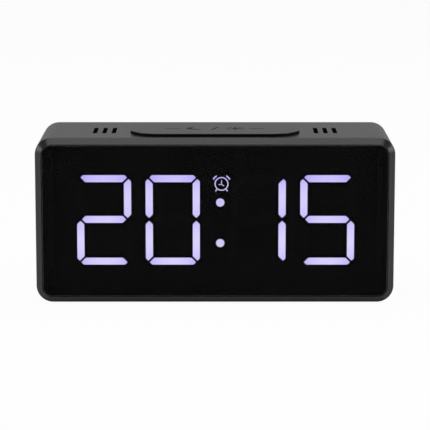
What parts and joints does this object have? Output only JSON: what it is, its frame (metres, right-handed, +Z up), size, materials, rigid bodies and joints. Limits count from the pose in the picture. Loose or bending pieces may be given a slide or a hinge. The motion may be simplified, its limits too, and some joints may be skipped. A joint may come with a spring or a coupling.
{
  "type": "desk clock",
  "caption": "Small rectangular desk clock with a smoked front showing glowing digits, a long round-cornered snooze key on top, push buttons and a hinged battery door behind.",
  "frame": {"origin": "middle of the clock's footprint, on the surface that it stands on", "axes": "the front faces -Y, +Y points to the back, +X to the right seen from the front, +Z up"},
  "size_m": [0.15, 0.052, 0.0717],
  "materials": {
    "case_plastic": "fine spark texture, dark grey",
    "key_plastic": "fine texture, dark grey",
    "smoked_acrylic": "polished",
    "black_film": "printed film",
    "adhesive_foam": "matt",
    "black_moulding": "matt",
    "lit_filler": "glowing, pale lavender",
    "dark_filler": "milky, unlit",
    "led_ceramic": "small LED body",
    "circuit_board": "solder mask",
    "screw_steel": "zinc plated",
    "spring_steel": "wire",
    "nickel_plate": "nickel plated",
    "rubber_pad": "matt",
    "black_component": "moulded epoxy",
    "switch_plastic": "moulded",
    "stem_plastic": "moulded",
    "ribbon_plastic": "grey flat cable",
    "socket_plastic": "moulded",
    "component_can": "satin",
    "resistor_ceramic": "glazed",
    "cell_jacket": "plain printed jacket",
    "red_wire": "insulation",
    "black_wire": "insulation",
    "grey_wire": "insulation"
  },
  "bodies": {
    "case": {"main_housing": "case_plastic", "front_lens": "smoked_acrylic", "lens_tape": "adhesive_foam", "rear_cover": "case_plastic", "rear_cover_screws": "screw_steel", "snooze_spring_left": "spring_steel", "snooze_spring_right": "spring_steel", "snooze_board": "circuit_board", "snooze_board_screws": "screw_steel", "snooze_switch_body": "switch_plastic", "snooze_leads": "grey_wire", "display_mask": "black_film", "reflector_block": "black_moulding", "unlit_segments": "dark_filler", "colon_dots": "lit_filler", "alarm_icon_filler": "lit_filler", "display_leds": "led_ceramic", "display_board": "circuit_board", "display_board_screws": "screw_steel", "display_ribbon": "ribbon_plastic", "ribbon_sockets": "socket_plastic", "main_board": "circuit_board", "main_board_screws": "screw_steel", "controller_chip": "black_component", "clock_crystal": "component_can", "capacitors": "component_can", "resistors": "resistor_ceramic", "driver_transistors": "black_component", "buzzer": "black_component", "usb_socket_shell": "nickel_plate", "usb_socket_tongue": "black_component", "rear_switch_bodies": "switch_plastic", "battery_end_contacts": "nickel_plate", "battery_link_contacts": "nickel_plate", "battery_contact_springs": "nickel_plate", "battery_lead_red": "red_wire", "battery_lead_black": "black_wire", "foot_front_left": "rubber_pad", "foot_front_right": "rubber_pad", "foot_rear_left": "rubber_pad", "foot_rear_right": "rubber_pad", "digit_1_lit": "lit_filler", "digit_2_lit": "lit_filler", "digit_3_lit": "lit_filler", "digit_4_lit": "lit_filler", "battery_cell_1": "cell_jacket", "battery_cell_2": "cell_jacket", "battery_cell_3": "cell_jacket"},
    "snooze_bar": {"snooze_bar": "key_plastic"},
    "snooze_switch_stem": {"snooze_switch_stem": "stem_plastic"},
    "battery_door": {"battery_door": "case_plastic"},
    "time_button": {"time_button": "key_plastic"},
    "time_switch_stem": {"time_switch_stem": "stem_plastic"},
    "alarm_button": {"alarm_button": "key_plastic"},
    "alarm_switch_stem": {"alarm_switch_stem": "stem_plastic"},
    "down_button": {"down_button": "key_plastic"},
    "down_switch_stem": {"down_switch_stem": "stem_plastic"},
    "up_button": {"up_button": "key_plastic"},
    "up_switch_stem": {"up_switch_stem": "stem_plastic"}
  },
  "joints": [
    {"name": "snooze_press", "type": "slide", "parent": "case", "child": "snooze_bar", "axis": [0, 0, -1], "range_m": [0, 0.0006], "stiffness_N_per_m": 1500, "deforming": ["snooze_spring_left", "snooze_spring_right"]},
    {"name": "snooze_stem_press", "type": "slide", "parent": "case", "child": "snooze_switch_stem", "axis": [0, 0, -1], "range_m": [0, 0.0006]},
    {"name": "battery_door_swing", "type": "hinge", "parent": "case", "child": "battery_door", "pos_m": [0.033, 0.0236, 0.0164], "axis": [-1, 0, 0], "range_deg": [0, 80]},
    {"name": "time_button_press", "type": "slide", "parent": "case", "child": "time_button", "axis": [0, -1, 0], "range_m": [0, 0.0005], "stiffness_N_per_m": 1200},
    {"name": "time_stem_press", "type": "slide", "parent": "case", "child": "time_switch_stem", "axis": [0, -1, 0], "range_m": [0, 0.0005]},
    {"name": "alarm_button_press", "type": "slide", "parent": "case", "child": "alarm_button", "axis": [0, -1, 0], "range_m": [0, 0.0005], "stiffness_N_per_m": 1200},
    {"name": "alarm_stem_press", "type": "slide", "parent": "case", "child": "alarm_switch_stem", "axis": [0, -1, 0], "range_m": [0, 0.0005]},
    {"name": "down_button_press", "type": "slide", "parent": "case", "child": "down_button", "axis": [0, -1, 0], "range_m": [0, 0.0005], "stiffness_N_per_m": 1200},
    {"name": "down_stem_press", "type": "slide", "parent": "case", "child": "down_switch_stem", "axis": [0, -1, 0], "range_m": [0, 0.0005]},
    {"name": "up_button_press", "type": "slide", "parent": "case", "child": "up_button", "axis": [0, -1, 0], "range_m": [0, 0.0005], "stiffness_N_per_m": 1200},
    {"name": "up_stem_press", "type": "slide", "parent": "case", "child": "up_switch_stem", "axis": [0, -1, 0], "range_m": [0, 0.0005]}
  ],
  "couplings": [
    {"joint": "snooze_stem_press", "follows": "snooze_press", "ratio": 1},
    {"joint": "time_stem_press", "follows": "time_button_press", "ratio": 1},
    {"joint": "alarm_stem_press", "follows": "alarm_button_press", "ratio": 1},
    {"joint": "down_stem_press", "follows": "down_button_press", "ratio": 1},
    {"joint": "up_stem_press", "follows": "up_button_press", "ratio": 1}
  ]
}
